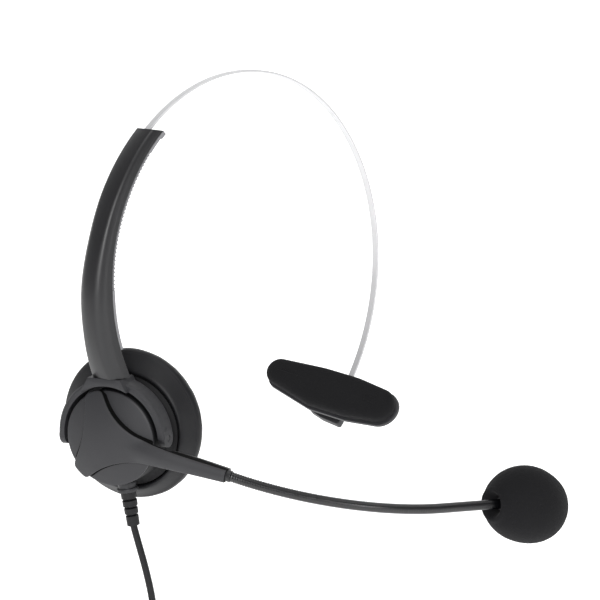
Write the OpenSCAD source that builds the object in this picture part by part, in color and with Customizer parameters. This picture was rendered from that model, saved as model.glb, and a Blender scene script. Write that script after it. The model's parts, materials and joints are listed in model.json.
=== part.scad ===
// Single-sided office headset, as worn: the wearer faces -Y, the ear cup is on the
// wearer's right at -X and the temple pad at +X. Origin at the centre of the headband arc.

/* [Headband] */
// Centre-line radius of the spring strip on the side that slides in the arm
band_r = 78; // [72:1:84]
// Centre-line radius of the strip on the temple-pad side
pad_side_r = 88; // [84:1:92]
// Width of the spring strip
strip_w = 3; // [2.6:0.1:3.4]
// Thickness of the spring strip
strip_t = 0.9; // [0.7:0.1:1]

/* [Arm] */
// Wall thickness of the arm's plastic shell
arm_wall = 0.9; // [0.8:0.05:1]

/* [Ear cup] */
// Swivel of the ear cup towards the front, from square to the headband
cup_swivel = 20; // [10:1:28]
// Outer radius of the round cup housing
cup_r = 18.5; // [18:0.1:18.8]
// Outer radius of the leatherette cushion
cushion_r = 29.7; // [28:0.1:32]
// Radial width of the C-shaped yoke
yoke_w = 2.6; // [2.4:0.1:3]
// Depth of the yoke along the cup axis
yoke_depth = 8; // [7:0.2:8]

/* [Boom] */
// Angle of the boom below the horizontal
boom_drop = 11.5; // [5:0.5:16]
// Distance from the cup axis to the end of the boom horn
horn_len = 48.6; // [44:0.2:50]
// Radius of the flexible neck
neck_r = 1.9; // [1.6:0.1:2.1]
// Bend radius of the flexible neck's curved stretch
neck_bend_r = 84; // [70:1:100]
// Total bend of the flexible neck
neck_bend = 56; // [45:1:60]
// Straight length from the end of the bend to the microphone housing
neck_tip_len = 28; // [24:1:32]

/* [Temple pad] */
// Thickness of the pad's foam
foam_t = 6.5; // [5:0.5:8]

/* [Cable] */
// Diameter of the cable
cable_d = 2.7; // [2.4:0.1:2.8]

/* [Hidden] */
$fn = 64;

black = "#2b2b2f";
dark = "#3c3c40";
soft_black = "#232326";
steel = "#c9cbcd";

// ---- headband arcs ----
turn_ang = 42;                       // polar angle where the strip changes radius
pad_c = [(band_r - pad_side_r) * cos(turn_ang), (band_r - pad_side_r) * sin(turn_ang)];
strip_in_ang = 188;                  // strip end inside the arm
strip_pad_ang = -46;                 // strip end inside the pad holder
arm_top = 132;
arm_end = 205.5;
pad_ang = -43;                       // polar angle of the pad pivot
gap = 0.05;                          // fit between pieces of one assembly

// Polar sector about the Y axis, from angle a0 to a1, of a section given as [radius, y]
module band_arc(a0, a1, c = [0, 0]) {
    translate([c[0], 0, c[1]]) rotate([90, 0, 0]) rotate([0, 0, a0])
        rotate_extrude(angle = a1 - a0, $fn = 180) children();
}

module strip_section(r, grow = 0) {
    translate([r - strip_t / 2 - grow, -strip_w / 2 - grow])
        square([strip_t + 2 * grow, strip_w + 2 * grow]);
}

module strip_path(grow = 0, from_pad = strip_pad_ang, to_arm = strip_in_ang) {
    band_arc(turn_ang, to_arm) strip_section(band_r, grow);
    band_arc(from_pad, turn_ang, pad_c) strip_section(pad_side_r, grow);
}

// Solid through a list of rings, each a closed list of 3-D points
module loft(rings) {
    n = len(rings[0]);
    m = len(rings);
    polyhedron(points = [for (r = rings) each r], convexity = 6, faces = concat(
        [for (i = [0:m - 2], j = [0:n - 1])
            [i * n + j, i * n + (j + 1) % n, (i + 1) * n + (j + 1) % n, (i + 1) * n + j]],
        [[for (j = [n - 1:-1:0]) j]],
        [[for (j = [0:n - 1]) (m - 1) * n + j]]));
}

module headband_strip() {
    color(steel) strip_path();
}

module band_stop() {
    color(dark) difference() {
        band_arc(strip_in_ang - 3, strip_in_ang) translate([band_r - 0.85, -2.4]) square([1.9, 4.8]);
        band_arc(strip_in_ang - 4, strip_in_ang + 1) strip_section(band_r, 0.02);
    }
}

// ---- arm ----
arm_base = 75.6;                     // radius of the arm's inner face
function arm_h(a) = lookup(a, [[132, 4], [152, 4.6], [166, 5.4], [180, 7.4], [191, 8.2], [205.5, 9.2]]);
function arm_b(a) = lookup(a, [[132, 5.4], [152, 5.7], [166, 5.7], [180, 6.2], [191, 6.4], [205.5, 7]]);
function arm_ridge(a) = lookup(a, [[132, 0.78], [152, 0.7], [180, 0.52], [191, 0.56], [205.5, 0.7]]);
function arm_lean(a) = a < 190 ? 0 : (190 - a) * (arm_end - 180) / (arm_end - 190);

// Point of the arm section at polar angle a, d outwards from the inner face, y across
function arm_pt(a, d, y) = let (e = a + arm_lean(a))
    [arm_base * cos(a) + d * cos(e), y, arm_base * sin(a) + d * sin(e)];

// Outer half outline of the arm as [share of depth, share of half-width]
function arm_outline(a) = let (q = arm_ridge(a))
    [[0, 1], [0.5, 1], [0.6, 0.97], [0.92, q + 0.08], [0.98, q - 0.06], [1, 0]];
arm_angles = [132, 136, 140, 145, 150, 155, 160, 165, 170, 175, 180, 185, 190, 194, 197, 200, 203, 205.5];

function mirrored(half) = concat(half, [for (i = [len(half) - 2:-1:0]) [half[i][0], -half[i][1]]]);

// Section of the arm's outside, and of the channel inside it, which is open to the head
function arm_ring(a) = [for (p = mirrored(arm_outline(a))) arm_pt(a, p[0] * arm_h(a), p[1] * arm_b(a))];
function channel_ring(a) = let (h = arm_h(a) - arm_wall, b = arm_b(a) - arm_wall)
    [for (p = [[-1, b], [0.5 * h, b], [h, 0.5 * b], [h, -0.5 * b], [0.5 * h, -b], [-1, -b]])
        arm_pt(a, p[0], p[1])];

module arm_shell() {
    color(black) difference() {
        loft([for (a = arm_angles) arm_ring(a)]);
        loft([for (a = concat([arm_top - 1], arm_angles, [arm_end + 1])) channel_ring(a)]);
    }
}

cover_t = 1.4;
cover_end = 197;
lip_t = 0.95;                        // the rack plate stands this far out of the arm's inner face
module arm_cover() {
    angles = [for (a = arm_angles) if (a < cover_end) a];
    color("#8c8d90") difference() {
        union() {
            loft([for (a = concat(angles, [cover_end - 0.2]))
                let (b = arm_b(a) - arm_wall - gap, w = arm_b(a) - 0.2)
                [for (p = mirrored([[-lip_t, w], [-gap, w], [-gap, b], [cover_t, b], [cover_t, 0]]))
                    arm_pt(a, p[0], p[1])]]);
            loft([for (a = [arm_top, arm_top + 1.2, arm_top + 2.4]) let (w = arm_b(a) - 0.2)
                [for (p = [[-2, w], [-lip_t / 2, w], [-lip_t / 2, -w], [-2, -w]]) arm_pt(a, p[0], p[1])]]);
        }
        for (y = [-2.6, 2.6]) arm_screw_axis(y) translate([0, 0, -2]) cylinder(r = 0.85, h = 7);
    }
}

screw_ang = 194.5;
module arm_screw_axis(y) {
    translate(arm_pt(screw_ang, 0, y)) rotate([0, -90, 0]) rotate([0, 180 - screw_ang, 0]) children();
}

module arm_screws() {
    color(steel) for (y = [-2.6, 2.6]) arm_screw_axis(y) {
        translate([0, 0, -lip_t - 0.65]) cylinder(r = 1.4, h = 0.6);
        translate([0, 0, -lip_t - 0.1]) cylinder(r = 0.7, h = 4.2);
    }
}

socket_r = 1.8;
swivel_x = -73.4;
arm_floor = arm_base * sin(arm_end);
module swivel_socket() {
    angles = [197.2, 200, 203, 205.4];
    color(black) difference() {
        loft([for (a = angles) let (b = arm_b(a) - arm_wall - gap, h = arm_h(a) - arm_wall - gap)
            [for (p = [[0, b], [0.5 * h, b], [h, 0.48 * b], [h, -0.48 * b], [0.5 * h, -b], [0, -b]])
                arm_pt(a, p[0], p[1])]]);
        translate([swivel_x, 0, arm_floor - 1]) cylinder(r = socket_r, h = 5.5);
    }
}

module band_guide() {
    top = arm_base + arm_h(arm_top) - arm_wall - gap;
    bottom = arm_base + cover_t + gap;
    color("#4a4a4e") difference() {
        band_arc(arm_top + 0.4, arm_top + 8) translate([bottom, -2]) square([top - bottom, 4]);
        band_arc(arm_top - 1, arm_top + 9) strip_section(band_r, gap);
    }
}

module detent_spring() {
    color(steel) {
        band_arc(157, 172) translate([band_r + 1.15, -1.4]) square([0.3, 2.8]);
        rotate([0, -164, 0]) translate([band_r + strip_t / 2 + 0.5, 0, 0]) rotate([90, 0, 0])
            cylinder(r = 0.45, h = 2.8, center = true);
    }
}

// ---- ear cup frame: x up, -y forward, z outwards along the cup axis ----
cup_x = -70.2;
cup_z = -56.2;
ring_in = 20.1;
ring_out = ring_in + yoke_w;
module cup_frame() {
    translate([cup_x, 0, cup_z]) rotate([0, 0, cup_swivel]) rotate([0, -90, 0]) children();
}

rivet_head_r = 2.8;
module swivel_rivet() {
    head_top = cup_z + ring_in + 1.35;
    color(steel) translate([swivel_x, 0, 0]) {
        translate([0, 0, head_top - 0.5]) cylinder(r = socket_r, h = arm_floor + 4.4 - head_top + 0.5);
        translate([0, 0, head_top - 0.8]) cylinder(r = rivet_head_r, h = 0.8);
    }
}

// Swivel axis in the cup frame
axis_y = (cup_x - swivel_x) * sin(cup_swivel);
axis_z = (cup_x - swivel_x) * cos(cup_swivel);
tilt_roll = 4;                       // the tilt axis is turned this much about the cup axis

module yoke_ring() {
    half = yoke_depth / 2;
    flange_top = arm_floor - 0.3 - cup_z;
    color(dark) cup_frame() difference() {
        union() {
            rotate([0, 0, tilt_roll - 90]) rotate_extrude(angle = 180, $fn = 120) polygon([
                [ring_in, -half], [ring_out - 0.8, -half], [ring_out, -half + 0.8],
                [ring_out, half - 0.8], [ring_out - 0.8, half], [ring_in, half]]);
            rotate([0, 0, tilt_roll]) for (s = [-1, 1])
                translate([0, s * (ring_in + yoke_w / 2), 0]) rotate([90, 0, 0])
                    cylinder(r = half - 0.3, h = yoke_w - 0.3, center = true);
            difference() {
                translate([0, axis_y, -half]) linear_extrude(axis_z + half + 3.6) polygon([
                    [17, 10.5], [flange_top - 1.4, 7.6], [flange_top, 6.8],
                    [flange_top, -6.8], [flange_top - 1.4, -7.6], [17, -10.5]]);
                translate([0, 0, -half - 1]) cylinder(r = ring_in + 0.4, h = yoke_depth + 8, $fn = 120);
            }
        }
        translate([ring_in - 1, axis_y, axis_z]) rotate([0, 90, 0]) cylinder(r = socket_r + gap, h = 8);
        translate([ring_in - 1, axis_y, axis_z]) rotate([0, 90, 0]) cylinder(r = rivet_head_r + 0.1, h = 2.4);
        rotate([0, 0, tilt_roll]) for (s = [-1, 1])
            translate([0, s * (ring_in + yoke_w / 2), 0]) rotate([90, 0, 0])
                cylinder(r = tilt_pin_r, h = yoke_w + 2, center = true);
    }
}

tilt_pin_r = 1.2;
pin_in = 16.4;
module tilt_pins() {
    color(black) cup_frame() rotate([0, 0, tilt_roll]) for (s = [-1, 1])
        translate([0, s * (pin_in + ring_out - 0.3) / 2, 0]) rotate([90, 0, 0])
            cylinder(r = tilt_pin_r, h = ring_out - 0.3 - pin_in, center = true);
}

// ---- cup housing ----
cup_wall = 1.4;
dome_edge = 4.6;
dome_rise = 2.9;
dome_r = (cup_r * cup_r + dome_rise * dome_rise) / (2 * dome_rise);
flange_z = -8.4;
outlet_ang = 180 + 9;               // direction of the cable outlet in the cup frame
outlet_z = -2.5;
module outlet_frame() {
    cup_frame() rotate([0, 0, outlet_ang]) translate([0, 0, outlet_z]) rotate([0, 90, 0]) children();
}

module cup_shell() {
    color(black) difference() {
        cup_frame() difference() {
            rotate_extrude($fn = 120) polygon([
                [cup_r - cup_wall, dome_edge - 0.7], [cup_r - 0.6, dome_edge - 0.7], [cup_r, dome_edge - 1.3],
                [cup_r, flange_z + 1.8], [20.4, flange_z], [21.8, flange_z - 0.6], [21.8, flange_z - 1.8],
                [cup_r - cup_wall, flange_z - 1.8]]);
            rotate([0, 0, tilt_roll]) for (s = [-1, 1]) translate([0, s * (cup_r - 1), 0])
                rotate([90, 0, 0]) cylinder(r = tilt_pin_r + gap, h = 5, center = true);
        }
        outlet_frame() translate([0, 0, cup_r - 4]) cylinder(r = 2.6, h = 8);
    }
}

// Lens of radius dome_r about the cup axis, cut between r0 and r1, from height z0 above its base
module dome_cap(edge_z, rise, r) {
    radius = (r * r + rise * rise) / (2 * rise);
    intersection() {
        translate([0, 0, edge_z + rise - radius]) sphere(r = radius, $fn = 160);
        translate([0, 0, edge_z - 0.01]) cylinder(r = r, h = rise + 1, $fn = 120);
    }
}

spigot_r = 4;
module hub_dome() {
    color(dark) cup_frame() difference() {
        union() {
            difference() {
                union() {
                    dome_cap(dome_edge, dome_rise, cup_r - 0.1);
                    translate([0, 0, dome_edge - 0.6]) cylinder(r = cup_r - 0.1, h = 0.61, $fn = 120);
                }
                translate([0, 0, -1.3]) dome_cap(dome_edge, dome_rise, cup_r - 1.5);
                translate([0, 0, dome_edge - 2]) cylinder(r = cup_r - 1.5, h = 0.71, $fn = 120);
            }
            translate([0, 0, 3]) cylinder(r = spigot_r + 1.6, h = 4);
        }
        translate([0, 0, 2]) cylinder(r = spigot_r + gap, h = 8);
    }
}

baffle_top = flange_z - 1.85;
baffle_r = 21.8;
module cup_baffle() {
    color(black) cup_frame() difference() {
        translate([0, 0, baffle_top - 1.6]) cylinder(r = baffle_r, h = 1.6, $fn = 120);
        translate([0, 0, baffle_top - 2]) cylinder(r = 13.2, h = 3);
        for (a = [60:120:300]) rotate([0, 0, a]) translate([19.4, 0, baffle_top - 2])
            cylinder(r = 0.95, h = 3, $fn = 32);
    }
}

module cup_screws() {
    color(steel) cup_frame() for (a = [60:120:300]) rotate([0, 0, a]) translate([19.4, 0, 0]) {
        translate([0, 0, baffle_top - 2.4]) cylinder(r = 1.6, h = 0.75, $fn = 32);
        translate([0, 0, baffle_top - 1.7]) cylinder(r = 0.9, h = 1.7, $fn = 32);
    }
}

// ---- loudspeaker, stacked inwards from the pot to the grille ----
sp = baffle_top;                     // outer face of the baffle, where the frame rests
module speaker_frame() {
    color("#6a6a6e") cup_frame() rotate_extrude() polygon([
        [14.6, sp + 0.02], [14.6, sp + 1], [13.8, sp + 1], [9.6, sp + 4.4], [9.1, sp + 4.4],
        [9.1, sp + 3.4], [12.6, sp + 0.9], [12.6, sp + 0.02]]);
}

module speaker_pot() {
    color(steel) cup_frame() difference() {
        translate([0, 0, sp + 3.5]) cylinder(r = 9.05, h = 5);
        translate([0, 0, sp + 3]) cylinder(r = 8.1, h = 4.6);
    }
}

module speaker_magnet() {
    color("#55565a") cup_frame() translate([0, 0, sp + 5]) cylinder(r = 6.4, h = 2.55);
}

module speaker_pole() {
    color(steel) cup_frame() translate([0, 0, sp + 3.9]) cylinder(r = 6.8, h = 1.05);
}

module voice_coil() {
    color("#b06a35") cup_frame() difference() {
        translate([0, 0, sp + 2.4]) cylinder(r = 7.7, h = 3.2);
        translate([0, 0, sp + 2]) cylinder(r = 7.15, h = 4);
    }
}

module speaker_diaphragm() {
    color("#c8c2a8") cup_frame() rotate_extrude() polygon([
        [0.01, sp + 1.25], [4, sp + 1.45], [6.5, sp + 2.1], [7.7, sp + 2.1], [10, sp + 1.1], [12.4, sp + 0.6],
        [12.4, sp + 0.75], [10.1, sp + 1.25], [7.8, sp + 2.35], [6.4, sp + 2.35], [3.9, sp + 1.6],
        [0.01, sp + 1.4]]);
}

module speaker_grille() {
    color(black) cup_frame() translate([0, 0, sp - 1.6]) difference() {
        cylinder(r = 13, h = 0.8);
        translate([0, 0, -1]) cylinder(r = 0.8, h = 3, $fn = 24);
        for (ring = [1:3], k = [0:6 * ring - 1]) rotate([0, 0, k * 60 / ring])
            translate([3.2 * ring, 0, -1]) cylinder(r = 0.8, h = 3, $fn = 24);
    }
}

module speaker_cloth() {
    color(soft_black) cup_frame() translate([0, 0, sp - 3.2]) cylinder(r = 15.8, h = 0.6);
}

module ear_cushion() {
    color(soft_black) cup_frame() rotate_extrude($fn = 120) polygon(concat(
        [[22.1, flange_z - 0.2], [23.6, flange_z + 0.2], [cushion_r - 1.6, flange_z - 4.6]],
        [for (a = [50:-20:-70]) [cushion_r - 3 + 3 * cos(a), flange_z - 7 + 3 * sin(a)]],
        [[cushion_r - 5, flange_z - 12.6], [cushion_r - 9, flange_z - 13.4], [cushion_r - 12, flange_z - 12.4],
         [16.2, flange_z - 9], [16.2, sp - 2.5], [22.1, sp - 2.5]]));
}

// ---- cable outlet ----
module outlet_collar() {
    color(black) outlet_frame() difference() {
        union() {
            translate([0, 0, cup_r - 3]) cylinder(r = 2.55, h = 3.4);
            translate([0, 0, cup_r + 0.35]) cylinder(r1 = 3.6, r2 = 3.4, h = 2.2);
            translate([0, 0, cup_r + 2.55]) cylinder(r = 4.1, h = 1.5);
        }
        translate([0, 0, cup_r - 4]) cylinder(r = 1.8, h = 10);
    }
}

collar_end = cup_r + 4.05;
relief_len = 13.4;
module strain_relief() {
    ribs = 4;
    pitch = 3.1;
    color(soft_black) outlet_frame() difference() {
        rotate_extrude() polygon(concat(
            [[0, cup_r - 3.2], [1.75, cup_r - 3.2], [1.75, collar_end + 0.02], [3.05, collar_end + 0.02]],
            [for (k = [0:ribs - 1], p = [[0, 1.1], [-0.55, 1.15], [-0.55, 2.4], [0, 2.45]])
                [3.05 - 0.17 * k + p[0], collar_end + pitch * k + p[1] - 0.2]],
            [[2.35, collar_end + relief_len], [0, collar_end + relief_len]]));
        translate([0, 0, collar_end + relief_len - 2]) cylinder(r = cable_d / 2, h = 3);
    }
}

module cord_clamp() {
    color("#4a4a4e") outlet_frame() translate([0, 0, cup_r - 6.6]) difference() {
        cylinder(r = 2.8, h = 2.6);
        translate([0, 0, -1]) cylinder(r = 0.9, h = 5);
    }
}

// ---- boom: x along the boom, z outwards ----
module boom_frame() {
    cup_frame() rotate([0, 0, -90 - boom_drop]) children();
}

lens_c = 42.5;                       // centre distance of the circles that scoop the cover
lens_r = 33;
module cover_outline(grow = 0) {
    difference() {
        circle(r = cup_r + 0.5 + grow, $fn = 120);
        for (a = [60, 180, 300]) rotate([0, 0, a]) translate([lens_c, 0]) circle(r = lens_r - grow, $fn = 160);
    }
}

cover_edge = 6.2;
cover_rise = 3.6;
horn_z = 2;                          // height of the neck's axis at the horn end
// Six-sided section of the horn at x: half-width at its edges, bottom and top heights
function horn_ring(x, half_w, z0, z1) = let (zm = (z0 + z1) / 2 + 0.6)
    [for (p = [[-1, z0], [-1, zm], [-0.5, z1], [0.5, z1], [1, zm], [1, z0]]) [x, p[0] * half_w, p[1]]];

module horn(sections) {
    loft([for (q = sections) horn_ring(q[0], q[1], q[2], q[3])]);
}

module boom_cover() {
    color(dark) boom_frame() difference() {
        union() {
            intersection() {
                difference() {
                    dome_cap(cover_edge, cover_rise, cup_r + 0.5);
                    translate([0, 0, 0.25]) dome_cap(dome_edge, dome_rise, cup_r - 0.1);
                }
                translate([0, 0, 4]) linear_extrude(10) cover_outline();
            }
            translate([0, 0, 3.1]) cylinder(r = spigot_r, h = 6);
            horn([[6, 5.2, 7.6, 8.8], [12, 4.8, 7.3, 9], [18, 4.1, 6.6, 9], [25, 3.7, 6.5, 8.8],
                [27, 3.6, 4.6, 8.6], [36, 3.1, 2.6, 7], [horn_len, 2.6, 1.7, 5]]);
        }
        translate([0, 0, 2]) cylinder(r = 1.25, h = 5.4);
        translate([horn_len - 5, 0, horn_z]) rotate([0, 90, 0]) cylinder(r = neck_r + 0.35, h = 6);
    }
}

module boom_back() {
    color(black) boom_frame() difference() {
        horn([[27.2, 3.4, 2.4, 4.3], [36, 3, 0.2, 2.5], [horn_len, 2.55, -1, 1.6]]);
        translate([horn_len - 5, 0, horn_z]) rotate([0, 90, 0]) cylinder(r = neck_r + 0.35, h = 6);
    }
}

module boom_screw() {
    color(steel) boom_frame() {
        translate([0, 0, 2]) cylinder(r = 1.25, h = 5.2);
        translate([0, 0, 0.6]) cylinder(r = 2.6, h = 1.41);
    }
}

module boom_washer() {
    color(steel) boom_frame() difference() {
        translate([0, 0, 2.05]) cylinder(r = 5.5, h = 0.75);
        translate([0, 0, 1]) cylinder(r = 1.3, h = 3);
    }
}

module neck_ferrule() {
    color(black) boom_frame() translate([horn_len - 4.5, 0, horn_z]) rotate([0, 90, 0])
        difference() {
            cylinder(r = neck_r + 0.3, h = 6);
            translate([0, 0, -1]) cylinder(r = neck_r + 0.02, h = 9);
        }
}

// ---- flexible neck: an arc in the x-z plane of the boom, hinged at three places ----
neck_straight = 3.4;
neck_x = horn_len + neck_straight;
bend_at = [10, 33, neck_bend];       // arc angles of the three bending places
ball_r = neck_r - 0.05;
module neck_arc(a0, a1) {
    translate([neck_x, 0, horn_z - neck_bend_r]) rotate([90, 0, 0]) rotate([0, 0, 90 - a1])
        rotate_extrude(angle = a1 - a0, $fn = 96) translate([neck_bend_r, 0]) circle(r = neck_r, $fn = 32);
}

// Frame on the neck's axis at arc angle a, with x along the neck
module neck_at(a) {
    translate([neck_x + neck_bend_r * sin(a), 0, horn_z - neck_bend_r * (1 - cos(a))])
        rotate([0, a, 0]) children();
}

ball_gap = asin(0.9 / neck_bend_r);  // stretch left free before each ball
module neck_ball(a) {
    neck_at(a) {
        sphere(r = ball_r, $fn = 32);
        translate([-1.2, 0, 0]) rotate([0, 90, 0]) cylinder(r = 1, h = 1.2, $fn = 32);
    }
}

module neck_root() {
    color(soft_black) boom_frame() {
        translate([horn_len - 4, 0, horn_z]) rotate([0, 90, 0]) {
            cylinder(r = neck_r, h = neck_straight + 4, $fn = 32);
            translate([0, 0, neck_straight + 2]) cylinder(r = 1, h = 4, $fn = 32);
        }
        neck_arc(0, bend_at[0] - ball_gap);
        neck_ball(bend_at[0]);
    }
}

module neck_piece(k) {
    color(soft_black) boom_frame() {
        difference() {
            neck_arc(bend_at[k], bend_at[k + 1] - ball_gap);
            neck_at(bend_at[k]) sphere(r = ball_r + 0.08, $fn = 32);
        }
        neck_ball(bend_at[k + 1]);
    }
}

module neck_middle() { neck_piece(0); }

module neck_outer() { neck_piece(1); }

module mic_frame() {
    boom_frame() neck_at(neck_bend) children();
}

module neck_tip() {
    color(soft_black) mic_frame() difference() {
        rotate([0, 90, 0]) cylinder(r = neck_r, h = neck_tip_len, $fn = 32);
        sphere(r = ball_r + 0.08, $fn = 32);
    }
}

// ---- microphone ----
mic_x = neck_tip_len;
module mic_housing() {
    color(black) mic_frame() translate([mic_x, 0, 0]) rotate([0, 90, 0]) difference() {
        rotate_extrude() polygon([[0, 0.02], [2.4, 0.02], [3, 2], [5, 5], [5, 13.5], [4.4, 14], [0, 14]]);
        translate([0, 0, 6]) cylinder(r = 3.6, h = 9);
    }
}

module mic_grommet() {
    color(soft_black) mic_frame() translate([mic_x + 6.1, 0, 0]) rotate([0, 90, 0]) difference() {
        cylinder(r = 3.55, h = 5.8);
        translate([0, 0, 0.8]) cylinder(r = 3.05, h = 8);
    }
}

module mic_capsule() {
    color(steel) mic_frame() translate([mic_x + 7, 0, 0]) rotate([0, 90, 0]) cylinder(r = 3, h = 4.6);
}

module mic_foam() {
    half_len = 17.8;
    half_w = 15.2;
    color(soft_black) mic_frame() translate([mic_x - 5, 0, 0]) rotate([0, 90, 0]) difference() {
        rotate_extrude() polygon(concat([[0, 0.6]], [for (t = [15:11:180])
            [half_w * sin(t) * (1 - 0.04 * cos(t)), half_len * (1 - cos(t))]], [[0, 2 * half_len]]));
        translate([0, 0, -1]) cylinder(r1 = 6.4, r2 = 4.4, h = 6);
        cylinder(r = 5.15, h = 19.8);
    }
}

// ---- temple pad frame: x inwards to the head, y along the pad, z down the strip ----
pad_o = [pad_c[0] + pad_side_r * cos(pad_ang), 0, pad_c[1] + pad_side_r * sin(pad_ang)];
pad_yaw = -9;                        // the pad is turned this much about the strip
module pad_frame() {
    translate(pad_o) rotate([0, 180 - pad_ang, 0]) rotate([0, 0, pad_yaw]) children();
}

pivot_x = 4.2;
pivot_r = 1.1;
module pad_holder() {
    color(black) difference() {
        pad_frame() difference() {
            union() {
                translate([-1.7, 0, 0]) rotate([90, 0, 90]) linear_extrude(3.5) polygon([
                    [-4.2, -9], [4.2, -9], [4.2, 3], [10, 6.8], [10, 8.2], [3.5, 9.8], [-5.4, 10.6],
                    [-6.2, 10], [-6.2, 5], [-4.2, 3.4]]);
                translate([pivot_x, 0, 0]) rotate([90, 0, 0]) cylinder(r = 2.4, h = 8.4, center = true);
                translate([0.5, -4.2, -2.4]) cube([pivot_x - 0.5, 8.4, 4.8]);
            }
            translate([pivot_x, 0, 0]) rotate([90, 0, 0]) cylinder(r = pivot_r, h = 12, center = true);
        }
        strip_path(0.03, strip_pad_ang, 90);
    }
}

module pad_pivot_pin() {
    color(steel) pad_frame() translate([pivot_x, 0, 0]) rotate([90, 0, 0])
        cylinder(r = pivot_r, h = 15, center = true);
}

pad_back = 7.4;
// Discs whose hull is the pad's outline: along the pad, down the strip, radius
pad_discs = [[-26, 0.9, 8], [-12, 1, 9.7], [5, 0.9, 9.7], [26.6, -0.7, 6.6]];
module pad_outline(grow) {
    hull() for (p = pad_discs) translate([p[0], p[1]]) circle(r = p[2] + grow, $fn = 48);
}

module pad_slab(x0, x1, grow) {
    translate([x0, 0, 0]) rotate([90, 0, 90]) linear_extrude(x1 - x0) pad_outline(grow);
}

module pad_shell() {
    color(dark) pad_frame() {
        pad_slab(pad_back, pad_back + 1.6, 0);
        difference() {
            for (s = [-1, 1]) translate([pivot_x, s * 6, 0]) {
                rotate([90, 0, 0]) cylinder(r = 2.6, h = 3, center = true);
                translate([0, -1.5, -2.6]) cube([pad_back - pivot_x + 0.2, 3, 5.2]);
            }
            translate([pivot_x, 0, 0]) rotate([90, 0, 0]) cylinder(r = pivot_r + gap, h = 30, center = true);
        }
    }
}

module pad_foam() {
    x0 = pad_back + 1.65;
    color(soft_black) pad_frame() hull() {
        pad_slab(x0, x0 + 0.5, -0.9);
        pad_slab(x0 + 1.5, x0 + foam_t - 2.5, -0.2);
        pad_slab(x0 + foam_t - 0.5, x0 + foam_t, -3.5);
    }
}

// ---- free cable: hangs from the strain relief to a coil, with its plug below ----
coil_c = [-71, 1, -149];
coil_mid = 15;
coil_in = 9.4;
coil_out = 20.7;
coil_half = 5.7;
cable_pts = [[-66.04, -4.14, -89.8], [-65.92, -4.44, -91.8], [-65.6, -5.4, -95.5], [-65.1, -7, -101],
    [-64.6, -8.4, -106], [-64, -9.8, -112], [-63.4, -10.9, -118], [-62.7, -11.6, -125],
    [-62.1, -12.1, -131], [-61.2, -13.4, -140]];
tail_pts = [[-69.7, -15.2, -160], [-70.1, -13, -163.5], [-70.6, -11, -168], [-71.2, -9.3, -174],
    [-71.6, -8.5, -180]];

// Tube of radius r through points p
function unit(v) = v / norm(v);
function tube_dir(p, i) = unit(p[min(i + 1, len(p) - 1)] - p[max(i - 1, 0)]);
function tube_ring(c, d, r) = let (u = unit(cross(d, [0.3, 1, 0])), v = cross(d, u))
    [for (k = [0:7]) c + r * (cos(45 * k) * u + sin(45 * k) * v)];
module tube(p, r) {
    loft([for (i = [0:len(p) - 1]) tube_ring(p[i], tube_dir(p, i), r)]);
}

module cable() { color(soft_black) tube(cable_pts, cable_d / 2); }

module cable_tail() { color(soft_black) tube(tail_pts, cable_d / 2); }

module coil_frame() {
    translate(coil_c) rotate([0, 0, cup_swivel]) rotate([0, -90, 0]) children();
}

module cable_coil() {
    color(soft_black) coil_frame() rotate_extrude($fn = 96) polygon([
        [coil_in, -coil_half + 1.5], [coil_in + 1.5, -coil_half], [coil_out - 1.5, -coil_half],
        [coil_out, -coil_half + 1.5], [coil_out, coil_half - 1.5], [coil_out - 1.5, coil_half],
        [coil_in + 1.5, coil_half], [coil_in, coil_half - 1.5]]);
}

module coil_tie() {
    t = 0.8;
    color(black) coil_frame() translate([coil_mid + 0.05, 0, 0]) difference() {
        cube([coil_out - coil_in + 2 * t + 0.2, 4, 2 * coil_half + 2 * t + 0.1], center = true);
        cube([coil_out - coil_in + 0.2, 5, 2 * coil_half + 0.1], center = true);
    }
}

plug_top = [-71.6, -8.5, -180];
module plug_relief() {
    color(soft_black) translate(plug_top) difference() {
        translate([0, 0, -8]) cylinder(r1 = 2.6, r2 = 1.9, h = 10);
        cylinder(r = cable_d / 2, h = 4);
    }
}

module plug_body() {
    color(black) translate(plug_top) translate([0, 0, -26]) rotate_extrude()
        polygon([[0, 0], [3.8, 0], [4.4, 0.8], [4.4, 13], [3.9, 17], [3, 17.98], [0, 17.98]]);
}

plug_pin_r = 1.75;
plug_pin_len = 14;
module plug_pin() {
    color("gold") translate(plug_top) translate([0, 0, -26.02 - plug_pin_len]) rotate_extrude()
        polygon([[0, 0], [0.9, 0], [plug_pin_r, 1.4], [plug_pin_r, plug_pin_len], [0, plug_pin_len]]);
}

headband_strip();
band_stop();
pad_holder();
pad_pivot_pin();
pad_shell();
pad_foam();
arm_shell();
arm_cover();
swivel_socket();
band_guide();
detent_spring();
arm_screws();
swivel_rivet();
yoke_ring();
tilt_pins();
cup_shell();
hub_dome();
cup_baffle();
cup_screws();
speaker_frame();
speaker_pot();
speaker_magnet();
speaker_pole();
voice_coil();
speaker_diaphragm();
speaker_grille();
speaker_cloth();
ear_cushion();
outlet_collar();
cord_clamp();
strain_relief();
boom_cover();
boom_back();
boom_screw();
boom_washer();
neck_ferrule();
neck_root();
neck_middle();
neck_outer();
neck_tip();
mic_housing();
mic_capsule();
mic_grommet();
mic_foam();
cable();
cable_coil();
coil_tie();
cable_tail();
plug_relief();
plug_body();
plug_pin();
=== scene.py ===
import json
from math import atan2, cos, hypot, pi, radians, sin, sqrt

import bmesh
import bpy
from mathutils import Matrix, Vector, noise


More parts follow.
